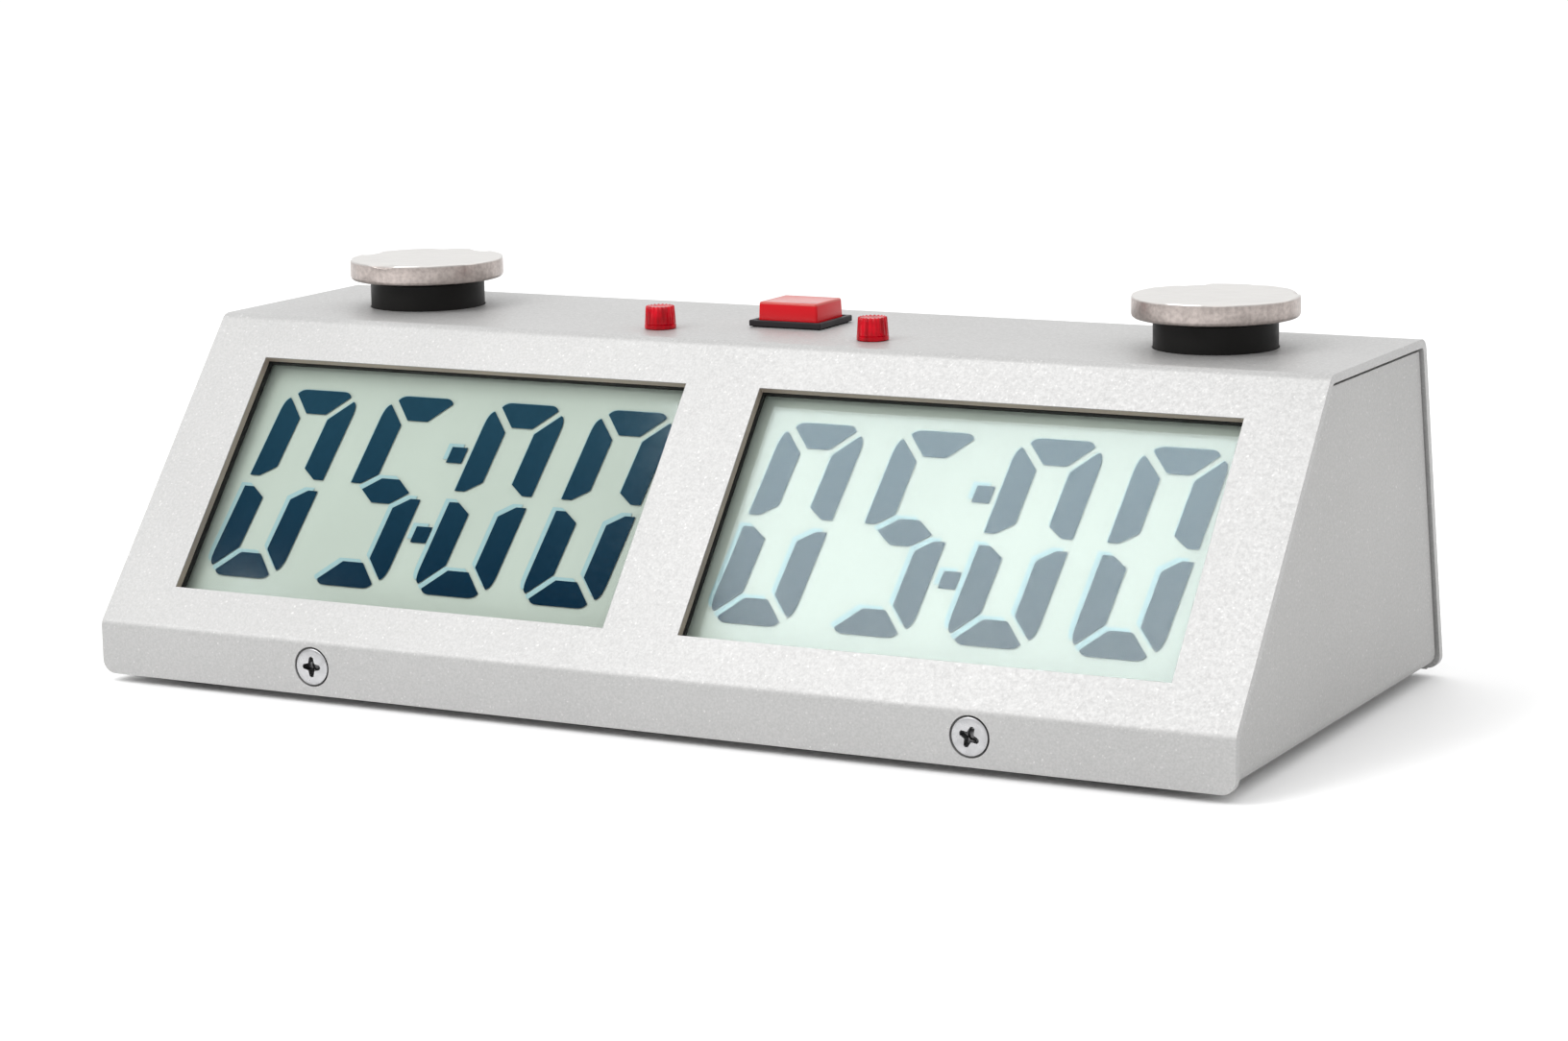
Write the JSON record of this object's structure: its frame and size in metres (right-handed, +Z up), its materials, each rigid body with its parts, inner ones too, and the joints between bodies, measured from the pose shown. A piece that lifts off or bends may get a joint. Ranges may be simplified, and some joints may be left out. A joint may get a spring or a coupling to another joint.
{
  "type": "chess clock",
  "caption": "Low wedge-shaped metal case with two sloping LCD windows, a raised round press button over each, turn lamps and a red centre button.",
  "frame": {"origin": "on the table under the centre of the case's bounding box", "axes": "+X to the right as seen by a player facing the displays, +Y to the back, +Z up; the sloping display panel faces -Y"},
  "size_m": [0.216, 0.0974, 0.0698],
  "materials": {
    "case_paint": "fine silver powder coat, satin with a slight orange peel",
    "tray_paint": "grey powder coat, satin",
    "nickel": "satin nickel, lightly worn",
    "steel": "bright zinc plated",
    "spring_steel": "drawn wire",
    "rubber": "matte moulded",
    "black_plastic": "satin moulded",
    "white_plastic": "natural nylon",
    "red_plastic": "satin gloss",
    "red_lens": "clear red, fluted",
    "lcd_glass": "anti-glare polariser on glass",
    "lcd_film": "pale grey-green reflector film",
    "circuit_board": "green solder mask",
    "cell_jacket": "plain dark jacket",
    "cable_sheath": "flat cable sheath"
  },
  "bodies": {
    "case": {"cover": "case_paint", "chassis_tray": "tray_paint", "front_cover_screw_left": "steel", "front_cover_screw_right": "steel", "rear_cover_screw_left": "steel", "rear_cover_screw_right": "steel", "rubber_foot_front_left": "rubber", "rubber_foot_front_right": "rubber", "rubber_foot_rear_left": "rubber", "rubber_foot_rear_right": "rubber", "lcd_connector_lower": "rubber", "lcd_connector_upper": "rubber", "lcd_bezel_left": "black_plastic", "lcd_bezel_right": "black_plastic", "button_switch_left": "black_plastic", "button_switch_right": "black_plastic", "select_housing": "black_plastic", "select_base": "black_plastic", "processor_chip": "black_plastic", "piezo_buzzer": "black_plastic", "battery_holder": "black_plastic", "power_switch_body": "black_plastic", "board_post_lower_left": "white_plastic", "board_post_lower_right": "white_plastic", "board_post_upper_left": "white_plastic", "board_post_upper_right": "white_plastic", "player_housing_left": "white_plastic", "player_housing_right": "white_plastic", "lamp_lens_left": "red_lens", "lamp_lens_right": "red_lens", "led_left": "red_lens", "led_right": "red_lens", "lcd_front_glass_left": "lcd_glass", "lcd_front_glass_right": "lcd_glass", "lcd_rear_glass_left": "lcd_glass", "lcd_rear_glass_right": "lcd_glass", "lcd_reflector_left": "lcd_film", "lcd_reflector_right": "lcd_film", "main_board": "circuit_board", "button_board_left": "circuit_board", "button_board_right": "circuit_board", "battery_cell_front": "cell_jacket", "battery_cell_middle": "cell_jacket", "battery_cell_rear": "cell_jacket", "button_cable_left": "cable_sheath", "button_cable_right": "cable_sheath", "battery_cable": "cable_sheath"},
    "left_button": {"player_disc_left": "nickel", "player_plunger_left": "black_plastic", "player_bolt_left": "steel", "player_spring_left": "spring_steel"},
    "right_button": {"player_disc_right": "nickel", "player_plunger_right": "black_plastic", "player_bolt_right": "steel", "player_spring_right": "spring_steel"},
    "select_button": {"select_cap": "red_plastic", "select_plunger": "white_plastic", "select_spring": "spring_steel"},
    "power_knob": {"power_switch_knob": "black_plastic"},
    "battery_door": {"battery_door": "black_plastic"}
  },
  "joints": [
    {"name": "left_button_press", "type": "slide", "parent": "case", "child": "left_button", "axis": [0, 0, -1], "range_m": [0, 0.002], "stiffness_N_per_m": 350, "springref_m": -0.003, "deforming": ["player_spring_left"]},
    {"name": "right_button_press", "type": "slide", "parent": "case", "child": "right_button", "axis": [0, 0, -1], "range_m": [0, 0.002], "stiffness_N_per_m": 350, "springref_m": -0.003, "deforming": ["player_spring_right"]},
    {"name": "select_button_press", "type": "slide", "parent": "case", "child": "select_button", "axis": [0, 0, -1], "range_m": [0, 0.002], "stiffness_N_per_m": 300, "springref_m": -0.002, "deforming": ["select_spring"]},
    {"name": "power_switch_slide", "type": "slide", "parent": "case", "child": "power_knob", "axis": [1, 0, 0], "range_m": [0, 0.004]},
    {"name": "battery_door_hinge", "type": "hinge", "parent": "case", "child": "battery_door", "pos_m": [0, -0.0132, 0.0034], "axis": [-1, 0, 0], "range_deg": [0, 90]}
  ]
}
